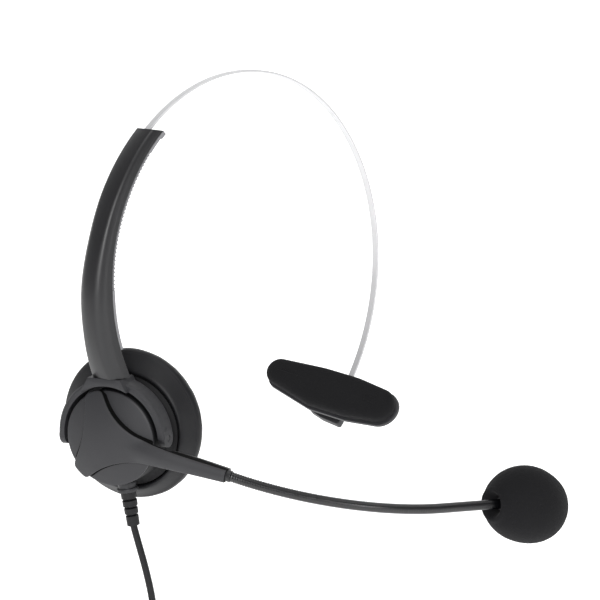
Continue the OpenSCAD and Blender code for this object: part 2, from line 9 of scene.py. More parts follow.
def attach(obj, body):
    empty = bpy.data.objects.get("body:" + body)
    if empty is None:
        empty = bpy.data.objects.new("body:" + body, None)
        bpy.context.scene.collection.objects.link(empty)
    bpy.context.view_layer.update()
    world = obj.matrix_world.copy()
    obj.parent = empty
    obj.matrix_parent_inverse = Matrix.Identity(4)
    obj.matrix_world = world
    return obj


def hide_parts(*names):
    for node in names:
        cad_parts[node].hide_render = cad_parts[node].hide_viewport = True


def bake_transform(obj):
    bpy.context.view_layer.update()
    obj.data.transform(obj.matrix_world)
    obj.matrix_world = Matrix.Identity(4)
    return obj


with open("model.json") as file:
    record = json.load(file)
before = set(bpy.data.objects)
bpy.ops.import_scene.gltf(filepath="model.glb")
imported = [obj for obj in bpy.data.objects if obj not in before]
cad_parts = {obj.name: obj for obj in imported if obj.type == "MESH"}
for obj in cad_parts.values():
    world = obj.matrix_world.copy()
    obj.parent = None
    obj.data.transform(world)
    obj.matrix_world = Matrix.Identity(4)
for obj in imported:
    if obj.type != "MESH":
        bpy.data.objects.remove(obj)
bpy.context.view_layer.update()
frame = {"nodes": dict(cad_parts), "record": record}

# ---- camera ----
# A long lens looks at the wearer's front right, a little from above. The plain view
# transform keeps the paper white.
VIEW_BACK = Vector((-0.7179, -0.6695, 0.1908))
LOOK_AT = Vector((0.0324, 0, -0.0184))
DISTANCE = 0.75
camera_data = bpy.data.cameras.new("camera")
camera_data.lens = 108
camera_data.sensor_width = 36
camera_data.clip_start = 0.05  # metres, well short of the headset
camera = bpy.data.objects.new("camera", camera_data)
camera.rotation_euler = VIEW_BACK.to_track_quat("Z", "Y").to_euler()
camera.location = LOOK_AT + DISTANCE * VIEW_BACK
bpy.context.scene.collection.objects.link(camera)
bpy.context.scene.camera = camera
bpy.context.scene.view_settings.view_transform = "Standard"


# ---- cable ----
# A thin round cable with a soft PVC jacket. It leaves the strain relief, drops to a tied
# coil wound in four flat spirals of four turns, in and out in turn, and ends in the plug.
def shift(x, y, z):
    return Matrix.Translation((x, y, z))


def turn(deg, axis):
    return Matrix.Rotation(radians(deg), 4, axis)


def speckle_group():
    """Fine grain for bump and a wide blotch for colour and roughness, in object space."""
    group = bpy.data.node_groups.new("speckle", "ShaderNodeTree")
    face = group.interface
    face.new_socket("Scale", in_out="INPUT", socket_type="NodeSocketFloat")
    face.new_socket("Height", in_out="OUTPUT", socket_type="NodeSocketFloat")
    face.new_socket("Blotch", in_out="OUTPUT", socket_type="NodeSocketFloat")
    nodes = group.nodes
    links = group.links
    inlet = nodes.new("NodeGroupInput")
    outlet = nodes.new("NodeGroupOutput")
    place = nodes.new("ShaderNodeTexCoord")
    grain = nodes.new("ShaderNodeTexNoise")
    grain.inputs["Detail"].default_value = 3
    grain.inputs["Roughness"].default_value = 0.6
    blotch = nodes.new("ShaderNodeTexNoise")
    blotch.inputs["Scale"].default_value = 90
    blotch.inputs["Detail"].default_value = 4
    links.new(place.outputs["Object"], grain.inputs["Vector"])
    links.new(place.outputs["Object"], blotch.inputs["Vector"])
    links.new(inlet.outputs["Scale"], grain.inputs["Scale"])
    links.new(grain.outputs["Fac"], outlet.inputs["Height"])
    links.new(blotch.outputs["Fac"], outlet.inputs["Blotch"])
    return group


SPECKLE = speckle_group()


def surface(name, color, rough, metallic=0.0, grain=2500, bump=0.08, depth=0.0001,
            sheen=0.0, shine=0.5):
    """A Principled material whose colour, roughness and bump vary with the speckle group."""
    rough_swing, color_swing, least_rough = 0.06, 0.08, 0.02
    material = bpy.data.materials.new(name)
    material.use_nodes = True
    nodes = material.node_tree.nodes
    links = material.node_tree.links
    shader = nodes["Principled BSDF"]
    shader.inputs["Metallic"].default_value = metallic
    shader.inputs["Specular IOR Level"].default_value = shine
    shader.inputs["Sheen Weight"].default_value = sheen
    speckle = nodes.new("ShaderNodeGroup")
    speckle.node_tree = SPECKLE
    speckle.inputs["Scale"].default_value = grain
    vary = nodes.new("ShaderNodeMapRange")
    vary.inputs["To Min"].default_value = max(rough - rough_swing, least_rough)
    vary.inputs["To Max"].default_value = rough + rough_swing
    tint = nodes.new("ShaderNodeMix")
    tint.data_type = "RGBA"
    tint.inputs[6].default_value = (*[c * (1 - color_swing) for c in color], 1)
    tint.inputs[7].default_value = (*[c * (1 + color_swing) for c in color], 1)
    relief = nodes.new("ShaderNodeBump")
    relief.inputs["Strength"].default_value = bump
    relief.inputs["Distance"].default_value = depth
    links.new(speckle.outputs["Blotch"], vary.inputs["Value"])
    links.new(vary.outputs["Result"], shader.inputs["Roughness"])
    links.new(speckle.outputs["Blotch"], tint.inputs[0])
    links.new(tint.outputs[2], shader.inputs["Base Color"])
    links.new(speckle.outputs["Height"], relief.inputs["Height"])
    links.new(relief.outputs["Normal"], shader.inputs["Normal"])
    return material


WORLD = Matrix.Scale(0.001, 4)  # from millimetres
RUBBER = surface("soft_rubber", (0.007, 0.007, 0.008), 0.5, shine=0.3)
CABLE_R = 1.35
# the spirals wind about the coil's own z
coil = WORLD @ shift(-71, 1, -149) @ turn(20, "Z") @ turn(-90, "Y")
drop = [(-66.04, -4.14, -89.8), (-65.92, -4.44, -91.8), (-65.6, -5.4, -95.5), (-65.1, -7, -101),
        (-64.6, -8.4, -106), (-64, -9.8, -112), (-63.4, -10.9, -118), (-62.6, -11.6, -126),
        (-61.9, -12.2, -133)]
tail = [(-70.1, -13, -163.5), (-70.6, -11, -168), (-71.2, -9.3, -174), (-71.6, -8.5, -180.5)]
SPIRAL_TURNS = 4
SPIRALS = 4
STEPS_PER_TURN = 28
CROSSING_TURNS = 0.22  # share of a turn in which the cable steps over to the next spiral
wound_from = radians(-62)
wound_to = radians(-125 - 360 * SPIRALS * SPIRAL_TURNS)
INNER_R, OUTER_R, SPIRAL_PITCH = 10.85, 19.15, 2.78
turns = (wound_from - wound_to) / (2 * pi)
steps = int(STEPS_PER_TURN * turns)
wound = []
for i in range(steps + 1):
    done = turns * i / steps
    column = min(int(done / SPIRAL_TURNS), SPIRALS - 1)
    share = min(done / SPIRAL_TURNS - column, 1)
    start_r, end_r = (INNER_R, OUTER_R) if column % 2 else (OUTER_R, INNER_R)
    radius = start_r + (end_r - start_r) * share
    crossing = 0
    if column < SPIRALS - 1:
        crossing = max(0, 1 - (1 - share) * SPIRAL_TURNS / CROSSING_TURNS)
    side = (column - (SPIRALS - 1) / 2 + crossing * crossing * (3 - 2 * crossing)) * SPIRAL_PITCH
    a = wound_from + (wound_to - wound_from) * i / steps
    wound.append(coil @ Vector((radius * cos(a), radius * sin(a), side)))
route = [WORLD @ Vector(p) for p in drop] + wound + [WORLD @ Vector(p) for p in tail]
cable_curve = bpy.data.curves.new("free_cable", "CURVE")
cable_curve.dimensions = "3D"
spline = cable_curve.splines.new("BEZIER")
spline.bezier_points.add(len(route) - 1)
for point, place in zip(spline.bezier_points, route):
    point.co = place
    point.handle_left_type = "AUTO"
    point.handle_right_type = "AUTO"
cable_curve.bevel_depth = CABLE_R / 1000
cable_curve.bevel_resolution = 4
cable_curve.resolution_u = 3
cable_curve.use_fill_caps = True
cable = bpy.data.objects.new("free_cable", cable_curve)
bpy.context.scene.collection.objects.link(cable)
cable_curve.materials.append(RUBBER)
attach(cable, "ear_cup")
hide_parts("cable", "cable_coil", "cable_tail")


# ---- plug ----
# A moulded grip on the cable's end, the edges of its collar rounded, with a gold-plated
# pin.
def finish_mesh(name, bm, body, material, smooth_deg, stands_for):
    """Turns a bmesh into a piece with outward faces and sharp edges kept over smooth_deg."""
    bmesh.ops.recalc_face_normals(bm, faces=bm.faces)
    bm.normal_update()
    for f in bm.faces:
        f.smooth = True
    for e in bm.edges:
        e.smooth = len(e.link_faces) == 2 and e.calc_face_angle(0) < radians(smooth_deg)
    mesh = bpy.data.meshes.new(name)
    bm.to_mesh(mesh)
    bm.free()
    piece = bpy.data.objects.new(name, mesh)
    bpy.context.scene.collection.objects.link(piece)
    mesh.materials.append(material)
    if body:
        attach(piece, body)
    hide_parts(*stands_for)
    return piece


def ease(node, width, body, material):
    """The CAD piece with all its edges sharper than sharp_deg rounded by width."""
    sharp_deg, weld = 32, 2e-6
    bm = bmesh.new()
    bm.from_mesh(frame["nodes"][node].data)
    bmesh.ops.remove_doubles(bm, verts=bm.verts, dist=weld)
    bmesh.ops.dissolve_limit(bm, angle_limit=radians(0.5), verts=bm.verts, edges=bm.edges)
    sharp = [e for e in bm.edges if len(e.link_faces) == 2 and e.calc_face_angle(0) > radians(sharp_deg)]
    bmesh.ops.bevel(bm, geom=sharp, offset=width / 1000, segments=2, profile=0.5, affect="EDGES",
                    clamp_overlap=True, material=-1)
    return finish_mesh(node + "_eased", bm, body, material, 35, [node])


BLACK = surface("black_plastic", (0.008, 0.008, 0.0095), 0.4, grain=3500, bump=0.08, shine=0.55)
plug = ease("plug_body", 0.3, "ear_cup", BLACK)


# ---- headband strip ----
# A narrow spring-steel strip with rounded edges, bent to one arc over the head and a
# wider one down to the temple pad.
def put(name, shape, matrix, body, material, smooth_deg, stands_for):
    """Makes a piece from (points, faces) given in millimetres in the frame of matrix."""
    points, faces = shape
    bm = bmesh.new()
    made = [bm.verts.new(matrix @ Vector(p)) for p in points]
    for f in faces:
        bm.faces.new([made[i] for i in f])
    return finish_mesh(name, bm, body, material, smooth_deg, stands_for)


def skin(rings):
    """Points and faces over equal rings of points, capped at both ends."""
    n = len(rings[0])
    last = (len(rings) - 1) * n
    faces = [tuple(range(n - 1, -1, -1)), tuple(last + j for j in range(n))]
    for i in range(0, last, n):
        for j in range(n):
            k = (j + 1) % n
            faces.append((i + j, i + k, i + n + k, i + n + j))
    return [p for ring in rings for p in ring], faces


def rounded(points, radii, steps=3):
    """Rounds the corners of a closed 2-D outline, each by its own radius."""
    out = []
    n = len(points)
    for i, p in enumerate(points):
        a = points[i - 1]
        b = points[(i + 1) % n]
        la = hypot(a[0] - p[0], a[1] - p[1])
        lb = hypot(b[0] - p[0], b[1] - p[1])
        c = min(radii[i], 0.45 * la, 0.45 * lb)
        pa = [p[k] + (a[k] - p[k]) * c / la for k in (0, 1)]
        pb = [p[k] + (b[k] - p[k]) * c / lb for k in (0, 1)]
        for s in range(steps + 1):
            t = s / steps
            u = 1 - t
            out.append(tuple(u * u * pa[k] + 2 * u * t * p[k] + t * t * pb[k] for k in (0, 1)))
    return out


STRIP = surface("strip_steel", (0.66, 0.66, 0.67), 0.42, metallic=0.35, grain=900, bump=0.03)
BAND_R = 78.0
PAD_SIDE_R = 88.0
ARC_CHANGE = 42.0
STRIP_FROM, STRIP_TO = -46, 188
HALF_THICK, HALF_WIDE, STRIP_EDGE = 0.45, 1.5, 0.22
pad_side = [(BAND_R - PAD_SIDE_R) * cos(radians(ARC_CHANGE)),
            (BAND_R - PAD_SIDE_R) * sin(radians(ARC_CHANGE))]
section = rounded([(-HALF_THICK, -HALF_WIDE), (HALF_THICK, -HALF_WIDE), (HALF_THICK, HALF_WIDE),
                   (-HALF_THICK, HALF_WIDE)], [STRIP_EDGE] * 4)
rings = []
for a in range(STRIP_FROM, STRIP_TO + 1):
    middle, reach = (pad_side, PAD_SIDE_R) if a < ARC_CHANGE else ((0, 0), BAND_R)
    c, s = cos(radians(a)), sin(radians(a))
    rings.append([(middle[0] + (reach + d) * c, y, middle[1] + (reach + d) * s) for d, y in section])
put("headband_spring", skin(rings), WORLD, "headband", STRIP, 30, ["headband_strip"])


# ---- temple pad holder and tray ----
# The moulded holder grips the strip's end and carries a shallow moulded tray on a pin;
# both have small rounded edges.
GREY = surface("grey_plastic", (0.026, 0.026, 0.029), 0.5, grain=3500, bump=0.1, shine=0.4)
ease("pad_holder", 0.3, "headband", GREY)
ease("pad_shell", 0.35, "temple_pad", GREY)

# ---- temple pad foam ----
# A slab of soft foam glued in the tray, its face slightly crowned and its edge rolled over.
FOAM = surface("foam", (0.012, 0.012, 0.013), 0.95, grain=1400, bump=0.7, depth=0.0003,
               sheen=0.03, shine=0.1)
PAD_ANGLE, PAD_TWIST = -43, -9
pad_ang = radians(PAD_ANGLE)
pad_place = shift(pad_side[0] + PAD_SIDE_R * cos(pad_ang), 0,
                  pad_side[1] + PAD_SIDE_R * sin(pad_ang))
pad_frame = WORLD @ pad_place @ turn(180 - PAD_ANGLE, "Y") @ turn(PAD_TWIST, "Z")
# y, z and radius of the discs whose hull is the pad's outline
PAD_DISCS = [(-26, 0.9, 8), (-12, 1, 9.7), (5, 0.9, 9.7), (26.6, -0.7, 6.6)]
# depth, and how far the outline grows there
FOAM_LEVELS = [(9.05, -3.5), (9.05, -2.2), (9.15, -1.6), (9.5, -1.1), (10.4, -0.7), (12, -0.55),
               (13.3, -0.8), (14.3, -1.4), (15, -2.4), (15.35, -3.7), (15.5, -5.4)]
# depth, and the share of the last outline that a ring on the face keeps
FACE_SHARES = [(15.58, 0.8), (15.6, 0.6), (15.6, 0.45)]
PAD_SEGMENTS = 144
AXIS_HALF, AXIS_Z, AXIS_DROP = 25, 0.9, 1.5


def pad_level(x, grow, share=1.0):
    """Outline of the pad at depth x: the hull of its discs, drawn in towards its long axis."""
    ring = []
    for k in range(PAD_SEGMENTS):
        a = 2 * pi * k / PAD_SEGMENTS
        d = Vector((cos(a), sin(a)))
        y, z, r = max(PAD_DISCS, key=lambda c: c[0] * d.x + c[1] * d.y + c[2])
        y += (r + grow) * d.x
        z += (r + grow) * d.y
        axis_y = min(max(y, -AXIS_HALF), AXIS_HALF)
        axis_z = AXIS_Z - AXIS_DROP * max(axis_y, 0) / AXIS_HALF
        ring.append((x, axis_y + (y - axis_y) * share, axis_z + (z - axis_z) * share))
    return ring


levels = [pad_level(x, grow) for x, grow in FOAM_LEVELS]
levels += [pad_level(x, FOAM_LEVELS[-1][1], share) for x, share in FACE_SHARES]
foam_pad = put("temple_foam", skin(levels), pad_frame, "temple_pad", FOAM, 70, ["pad_foam"])
softer = foam_pad.modifiers.new("soft", "SUBSURF")
softer.levels = 1
softer.render_levels = 1


# ---- arm ----
# A moulded channel that the strip slides into, open towards the head. Two soft ridges
# with a shallow valley between them run along its front outer corner.
def table(x, rows):
    """Smooth interpolation of a table of (x, value, ...) rows."""
    if x <= rows[0][0]:
        return rows[0][1:]
    if x >= rows[-1][0]:
        return rows[-1][1:]
    i = max(k for k in range(len(rows)) if rows[k][0] <= x)
    p0, p1, p2, p3 = rows[max(i - 1, 0)], rows[i], rows[i + 1], rows[min(i + 2, len(rows) - 1)]
    h = p2[0] - p1[0]
    t = (x - p1[0]) / h
    out = []
    for k in range(1, len(p1)):
        m1 = (p2[k] - p0[k]) / (p2[0] - p0[0]) * h
        m2 = (p3[k] - p1[k]) / (p3[0] - p1[0]) * h
        out.append((2 * t**3 - 3 * t**2 + 1) * p1[k] + (t**3 - 2 * t**2 + t) * m1
                   + (3 * t**2 - 2 * t**3) * p2[k] + (t**3 - t**2) * m2)
    return out


ARM_BASE, ARM_TOP, ARM_END = 75.6, 132.0, 205.5
# polar angle, depth, half-width, share of the half-width that the outer face keeps
ARM = [(132, 4, 5.4, 0.78), (152, 4.6, 5.7, 0.7), (166, 5.4, 5.7, 0.6), (180, 7.4, 6.2, 0.52),
       (191, 8.2, 6.4, 0.56), (205.5, 9.2, 7, 0.7)]
ARM_WALL = 0.9
ARM_STEPS = 98
VALLEY, VALLEY_FROM, VALLEY_GROWS = 0.05, 140, 20
# past the first angle the depth turns back to the second, so that the foot ends level
LEAN_FROM, LEAN_PIVOT = 190, 180
LEVEL_FROM, LEVEL_SPAN, LEVEL_REACH, LEVEL_DEPTH = 138, 6, 3.2, 4


def arm_point(a, d, y):
    """Point at polar angle a, d outwards from the arm's inner face; both ends are cut level."""
    lean = 0
    if a >= LEAN_FROM:
        lean = (LEAN_FROM - a) * (ARM_END - LEAN_PIVOT) / (ARM_END - LEAN_FROM)
    reach = LEVEL_REACH * (max(LEVEL_FROM - a, 0) / LEVEL_SPAN) ** 2 * min(1 - d / LEVEL_DEPTH, 1)
    e = radians(a + lean)
    b = radians(a)
    return (ARM_BASE * cos(b) + d * cos(e) + reach * sin(b), y,
            ARM_BASE * sin(b) + d * sin(e) - reach * cos(b))


rings = []
for k in range(ARM_STEPS + 1):
    a = ARM_TOP + (ARM_END - ARM_TOP) * k / ARM_STEPS
    h, b, q = table(a, ARM)
    valley = VALLEY * min(max((a - VALLEY_FROM) / VALLEY_GROWS, 0), 1)
    outer = [(0, -b), (0.12 * h, -b), (0.36 * h, -b), (0.6 * h, (valley - 0.96) * b),
             (0.8 * h, (-0.5 * q - 0.5) * b), (0.95 * h, -q * b), (h, -0.3 * q * b),
             (h, 0.3 * q * b), (0.94 * h, q * b), (0.72 * h, 0.93 * b), (0.5 * h, b),
             (0.12 * h, b), (0, b)]
    hc, bc = h - ARM_WALL, b - ARM_WALL  # the hollow's depth and half-width
    inner = [(0, bc), (0.5 * hc, bc), (hc, 0.5 * bc), (hc, -0.5 * bc), (0.5 * hc, -bc), (0, -bc)]
    radii = [0.2, 0.3, 1.0, 1.0, 1.2, 0.9, 1.4, 1.4, 0.9, 1.2, 1.2, 0.3, 0.2]
    radii += [0.2, 0.5, 0.5, 0.5, 0.5, 0.2]
    rings.append([arm_point(a, d, y) for d, y in rounded(outer + inner, radii)])
put("arm_channel", skin(rings), WORLD, "arm", BLACK, 38, ["arm_shell"])

# ---- rack plate ----
# A light plate screwed over the open side of the arm. Fine teeth along its front edge
# index the strip; a small stop block ends it at the top.
TOOTH, TOOTH_DEPTH = 1.15, 0.5
TEETH_FROM, TEETH_TO = 137.0, 179.0
PLATE_END = 196.8
PLATE_STEP = 0.23
BLOCK_END = 133.2
STEP_D, TUCKED_D = -0.05, 1.4  # depths of the plate's shoulder and of its tucked-in back
BLOCK_D, PLATE_D = -1.8, -1.2  # depths of the face towards the head
rings = []
for k in range(int((PLATE_END - ARM_TOP) / PLATE_STEP) + 1):
    a = ARM_TOP + PLATE_STEP * k
    h, b, q = table(a, ARM)
    toothed = TEETH_FROM < a < TEETH_TO and (a / TOOTH) % 1 > 0.5
    front = b - 0.1 - (TOOTH_DEPTH if toothed else 0)
    back, wall = b - 0.2, b - ARM_WALL - 0.05
    low = BLOCK_D if a < BLOCK_END else PLATE_D
    across = ((low, back), (STEP_D, back), (STEP_D, wall), (TUCKED_D, wall),
              (TUCKED_D, -wall), (STEP_D, -wall), (STEP_D, -front), (low, -front))
    rings.append([arm_point(a, d, y) for d, y in across])
RACK = surface("inner_grey_plastic", (0.22, 0.22, 0.23), 0.45)
put("rack_plate", skin(rings), WORLD, "arm", RACK, 30, ["arm_cover"])

# ---- yoke ----
# A C-shaped moulded yoke riveted to the arm's foot; the cup tilts on its two pins.
ease("yoke_ring", 0.35, "yoke", GREY)


# ---- cup housing and hub ----
# A round moulded cup with a flange at the back; the domed hub closes its front, with a
# thin shadow gap where the two meet.
def lathe(profile, segments, wave=None):
    """Turns a profile of (radius, z) about z: an end on the axis closes in a point, and a
    profile with neither end on the axis closes on itself. wave moves each point."""
    on_axis = 1e-6
    points = []
    rows = []
    for k, (r, z) in enumerate(profile):
        count = 1 if r < on_axis else segments
        row = []
        for j in range(count):
            a = 2 * pi * j / segments
            p = Vector((r * cos(a), r * sin(a), z))
            row.append(len(points))
            points.append(wave(p, k, a) if wave and count > 1 else p)
        rows.append(row)
    pairs = list(zip(rows, rows[1:]))
    if len(rows[0]) > 1 and len(rows[-1]) > 1:
        pairs.append((rows[-1], rows[0]))
    faces = []
    for a, b in pairs:
        for j in range(segments):
            k = (j + 1) % segments
            if len(a) == 1:
                faces.append((a[0], b[k], b[j]))
            elif len(b) == 1:
                faces.append((a[j], a[k], b[0]))
            else:
                faces.append((a[j], a[k], b[k], b[j]))
    return points, faces


def dome_z(r, edge, rise, rim):
    """Height of a spherical cap that stands rise above edge at its middle and meets edge at rim."""
    radius = (rim * rim + rise * rise) / (2 * rise)
    return edge + rise - radius + sqrt(radius * radius - min(r, rim) ** 2)


cup = WORLD @ shift(-70.2, 0, -56.2) @ turn(20, "Z") @ turn(-90, "Y")
HUB_EDGE, HUB_RISE, HUB_R = 4.6, 2.9, 18.4
CUP_SEGMENTS = 160
shell_profile = rounded([(17.1, 3.9), (17.9, 3.9), (18.5, 3.3), (18.5, -6.6), (20.4, -8.4),
                         (21.8, -9), (21.8, -10.2), (17.1, -10.2)],
                        [0.1, 0.3, 0.3, 0.8, 0.6, 0.3, 0.3, 0.1], 4)
# a rougher, less shiny copy of the black plastic for the cup, its colour a little darker as painted
# shade
MATT_SHADED_BLACK = surface("matt_shaded_black_plastic", (0.006, 0.006, 0.007), 0.62, grain=3500, bump=0.1, shine=0.25)
put("cup_housing", lathe(shell_profile, CUP_SEGMENTS), cup, "ear_cup", MATT_SHADED_BLACK, 40,
    ["cup_shell"])
hub_profile = [(r, dome_z(r, HUB_EDGE, HUB_RISE, HUB_R)) for r in [1.5 * k for k in range(12)] + [17.5]]
hub_profile += [(18.1, 4.68), (18.35, 4.5), (18.4, 4.25), (18.4, 4.0), (17.0, 4.0)]
hub_profile += [(r, dome_z(r, 3.3, 2.9, 17)) for r in (16.5, 14, 11, 8, 4, 0)]
put("hub_face", lathe(hub_profile, CUP_SEGMENTS), cup, "ear_cup", GREY, 40, ["hub_dome"])

# ---- ear cushion ----
# A soft leatherette ring filled with foam, stretched over the baffle's rim: a smooth
# conical back, a seam near its rim, and gentle puckers on the rounded edge.
LEATHER = surface("leatherette", (0.008, 0.008, 0.0095), 0.46, grain=1600, bump=0.2,
                  depth=0.0002, shine=0.28)
CUSHION = [(22.1, -8.7), (22.9, -8.35), (23.8, -8.4), (25.4, -10), (27.1, -11.7), (28.3, -12.85),
           (28.62, -13.1), (28.72, -13.32), (28.98, -13.42), (29.35, -14), (29.68, -15),
           (29.7, -16), (29.4, -17.2), (28.7, -18.6), (27.5, -19.9), (25.9, -20.8), (24, -21.4),
           (22, -21.65), (20, -21.4), (18.4, -20.5), (17.1, -19), (16.5, -17.2), (16.2, -15),
           (16.2, -12.8), (18, -12.76), (22.1, -12.76), (22.1, -10.5)]
CUSHION_SEGMENTS = 220
EDGE_ROWS = (9, 20)  # the profile's rows on the rounded edge
SAG, SAG_FROM_R, SAG_OVER = Vector((1.0, 1.1, 0)), 23, 5


def pucker(p, row, a):
    """Uneven swelling of the leatherette on the rounded edge, which also sags off centre."""
    first, last = EDGE_ROWS
    loose = min(max((hypot(p.x, p.y) - SAG_FROM_R) / SAG_OVER, 0), 1)
    p += SAG * loose
    if row < first or row > last:
        return p
    fade = sin(pi * (row - first + 1) / (last - first + 2))
    fine = noise.noise(Vector((9 * cos(a), 9 * sin(a), row * 0.22)))
    wide = noise.noise(Vector((2.2 * cos(a), 2.2 * sin(a), 7 + row * 0.1)))
    out = Vector((p.x, p.y, 0)).normalized()
    return p + out * fade * (0.16 * fine + 0.25 * wide - 0.12) + Vector((0, 0, fade * 0.22 * wide))


cushion = put("ear_pad_ring", lathe(CUSHION, CUSHION_SEGMENTS, pucker), cup, "ear_cup",
              LEATHER, 60, ["ear_cushion"])
softer = cushion.modifiers.new("soft", "SUBSURF")
softer.levels = 1
softer.render_levels = 1

# ---- cable outlet ----
# A moulded collar on the cup's lower edge, with a grooved soft boot moulded on the cable
# below it.
ease("outlet_collar", 0.2, "ear_cup", GREY)
outlet = cup @ turn(189, "Z") @ shift(0, 0, -2.5) @ turn(90, "Y")
# start, end and radius of each land between the grooves
BOOT_LANDS = [(22.62, 25.2, 3.05), (25.95, 28.3, 2.9), (29.05, 31.3, 2.7), (32.05, 35.9, 2.5)]
GROOVE = 0.75
boot = [(0, 15.3), (1.75, 15.3), (1.75, 22.57)]
for z0, z1, r in BOOT_LANDS:
    if z0 > BOOT_LANDS[0][0]:
        boot.append((r - GROOVE, z0 - 0.02))
    boot += [(r - 0.12, z0), (r, z0 + 0.14), (r - 0.05, z1 - 0.14), (r - 0.17, z1)]
boot += [(2.0, 35.98), (1.4, 36), (0, 36)]
put("cable_boot", lathe(boot, 64), outlet, "ear_cup", RUBBER, 30, ["strain_relief"])


# ---- boom cover ----
# One moulding: a thin domed panel with three scooped sides over the hub, drawn out on
# one side into a horn that carries the flexible neck. Its cut edge, its underside and a
# thin band round its foot are painted near-black: painted shade.
boom = cup @ turn(-101.5, "Z")
LENS_C, LENS_R, COVER_R = 42.5, 33.0, 19.0
HORN_END = 48.6
# x along the boom, half-width, crest height
HORN = [(0, 6.6, 9.7), (10, 5.6, 9.55), (15.7, 4.45, 9.3), (20, 3.95, 9.1), (25, 3.55, 8.7),
        (30, 3.2, 8), (36, 2.9, 7), (HORN_END, 2.4, 5.05)]
# x along the boom, height of the horn's underside
HORN_FOOT = [(18, 7.2), (22, 6.5), (25.5, 6.5), (27.5, 4.5), (36, 2.6), (HORN_END, 1.7)]
HORN_FROM, HORN_STEP = 13.0, 0.6
CREST_FROM, CREST_OVER, CREST_SOFT = 4, 14, 0.5
PANEL_STEPS = 150
EASING_ROUNDS = 3
EDGE_R = 0.35
# width of the near-black band round the panel's foot, a painted shadow where the panel meets the hub
SHADE_BAND_W = 0.5
WIDE_SHADE_BAND = 2.3  # the painted shadow band beside the panel's far scoop is this many times as wide
ON_SPINE = 0.0001
# painted shade: near-black on the panel's cut edge, its underside and the band round its foot
PAINTED_SHADE = surface("painted_shade_black", (0.003, 0.003, 0.003), 0.8, shine=0.1)


def cover_reach(a):
    """Distance from the axis to the panel's edge in direction a, without the horn."""
    reach = COVER_R
    for lens in (60, 180, 300):
        d = a - radians(lens)
        side = LENS_C * sin(d)
        if abs(side) < LENS_R and cos(d) > 0:
            reach = min(reach, LENS_C * cos(d) - sqrt(LENS_R**2 - side**2))
    return reach


def cover_top(x, y):
    """Height of the outer face: the panel's dome, blended into the horn's ridge."""
    r = hypot(x, y)
    dome = dome_z(r, 6.2, 3.6, COVER_R) - max(r - COVER_R, 0) * 0.6
    half, ridge = table(x, HORN)
    blend = min(max((x - CREST_FROM) / CREST_OVER, 0), 1)
    crest = dome + (ridge - 0.38 * y * y / half - dome) * blend * blend * (3 - 2 * blend)
    near = max(0, 1 - abs(dome - crest) / CREST_SOFT)
    return max(dome, crest) + near * near * CREST_SOFT / 4


def cover_bottom(x, y):
    """Height of the underside, just clear of the hub face or the horn's foot."""
    r = hypot(x, y)
    if x > HORN_FOOT[0][0]:
        return min(table(x, HORN_FOOT)[0], cover_top(x, y) - 0.8)
    return dome_z(r, HUB_EDGE, HUB_RISE, HUB_R) + 0.25 - max(r - HUB_R, 0) * 0.2


def inset(points, d):
    """Moves a closed 2-D outline inwards by d, or outwards where d is negative."""
    out = []
    n = len(points)
    for i, p in enumerate(points):
        a, b = points[i - 2], points[(i + 2) % n]
        tx, ty = b[0] - a[0], b[1] - a[1]
        length = hypot(tx, ty)
        out.append((p[0] - ty / length * d, p[1] + tx / length * d))
    return out


# outline: one side of the horn, round the panel, back along the horn, across its end
side_a = []
x = HORN_END
while x > HORN_FROM:
    side_a.append((x, max(table(x, HORN)[0], 0)))
    x -= HORN_STEP
corner = atan2(side_a[-1][1], side_a[-1][0])
round_panel = []
for k in range(1, PANEL_STEPS):
    a = corner + (2 * pi - 2 * corner) * k / PANEL_STEPS
    round_panel.append((cover_reach(a) * cos(a), cover_reach(a) * sin(a)))
outline = side_a + round_panel + [(x, -y) for x, y in reversed(side_a)]
outline += [(HORN_END, y) for y in (-1.5, 0, 1.5)]
for _ in range(EASING_ROUNDS):
    eased = []
    for i, p in enumerate(outline):
        a, b = outline[i - 1], outline[(i + 1) % len(outline)]
        keep = p[0] > HORN_END - 1.3
        eased.append(p if keep else tuple(0.5 * p[k] + 0.25 * (a[k] + b[k]) for k in (0, 1)))
    outline = eased


def drawn_in(t):
    """The outline drawn in towards the panel's spine: 1 keeps it, 0 lies on the spine."""
    out = []
    for x, y in outline:
        spine = min(max(x * 0.93, 0), 45)
        out.append((spine + (x - spine) * t, y * t))
    return out


rings = []
for t in (ON_SPINE, 0.12, 0.25, 0.38, 0.5, 0.6, 0.7, 0.78, 0.85, 0.9):
    rings.append([(x, y, cover_top(x, y)) for x, y in drawn_in(t)])
for b in (0, 22.5, 45, 67.5, 90):
    d = EDGE_R * (1 - sin(radians(b)))
    low = EDGE_R * (1 - cos(radians(b)))
    rings.append([(x, y, cover_top(x, y) - low) for x, y in inset(outline, d)])
first_wall = len(rings) - 1
# a near-black band just outside the outline, lying on the hub: painted shadow, wider beside the far
# scoop and left out over the hub's rim
foot = inset(outline, -SHADE_BAND_W)
wide_foot = inset(outline, -WIDE_SHADE_BAND * SHADE_BAND_W)
for i, p in enumerate(outline):
    if hypot(p[0] + LENS_C, p[1]) < LENS_R + 0.3:
        foot[i] = wide_foot[i]
    if hypot(foot[i][0], foot[i][1]) > HUB_R - 0.3:
        foot[i] = p
rings.append([(x, y, cover_bottom(x, y) - 0.1) for x, y in outline])
rings.append([(x, y, cover_bottom(x, y) - 0.12) for x, y in foot])
rings.append([(x, y, cover_bottom(x, y) - 0.2) for x, y in foot])
rings.append([(x, y, cover_bottom(x, y)) for x, y in inset(outline, 0.9)])
for t in (0.8, 0.5, 0.25, ON_SPINE):
    rings.append([(x, y, cover_bottom(x, y)) for x, y in drawn_in(t)])
points, faces = skin(rings)
wall_mark = len(outline) * first_wall
panel = bmesh.new()
made = [panel.verts.new(boom @ Vector(p)) for p in points]
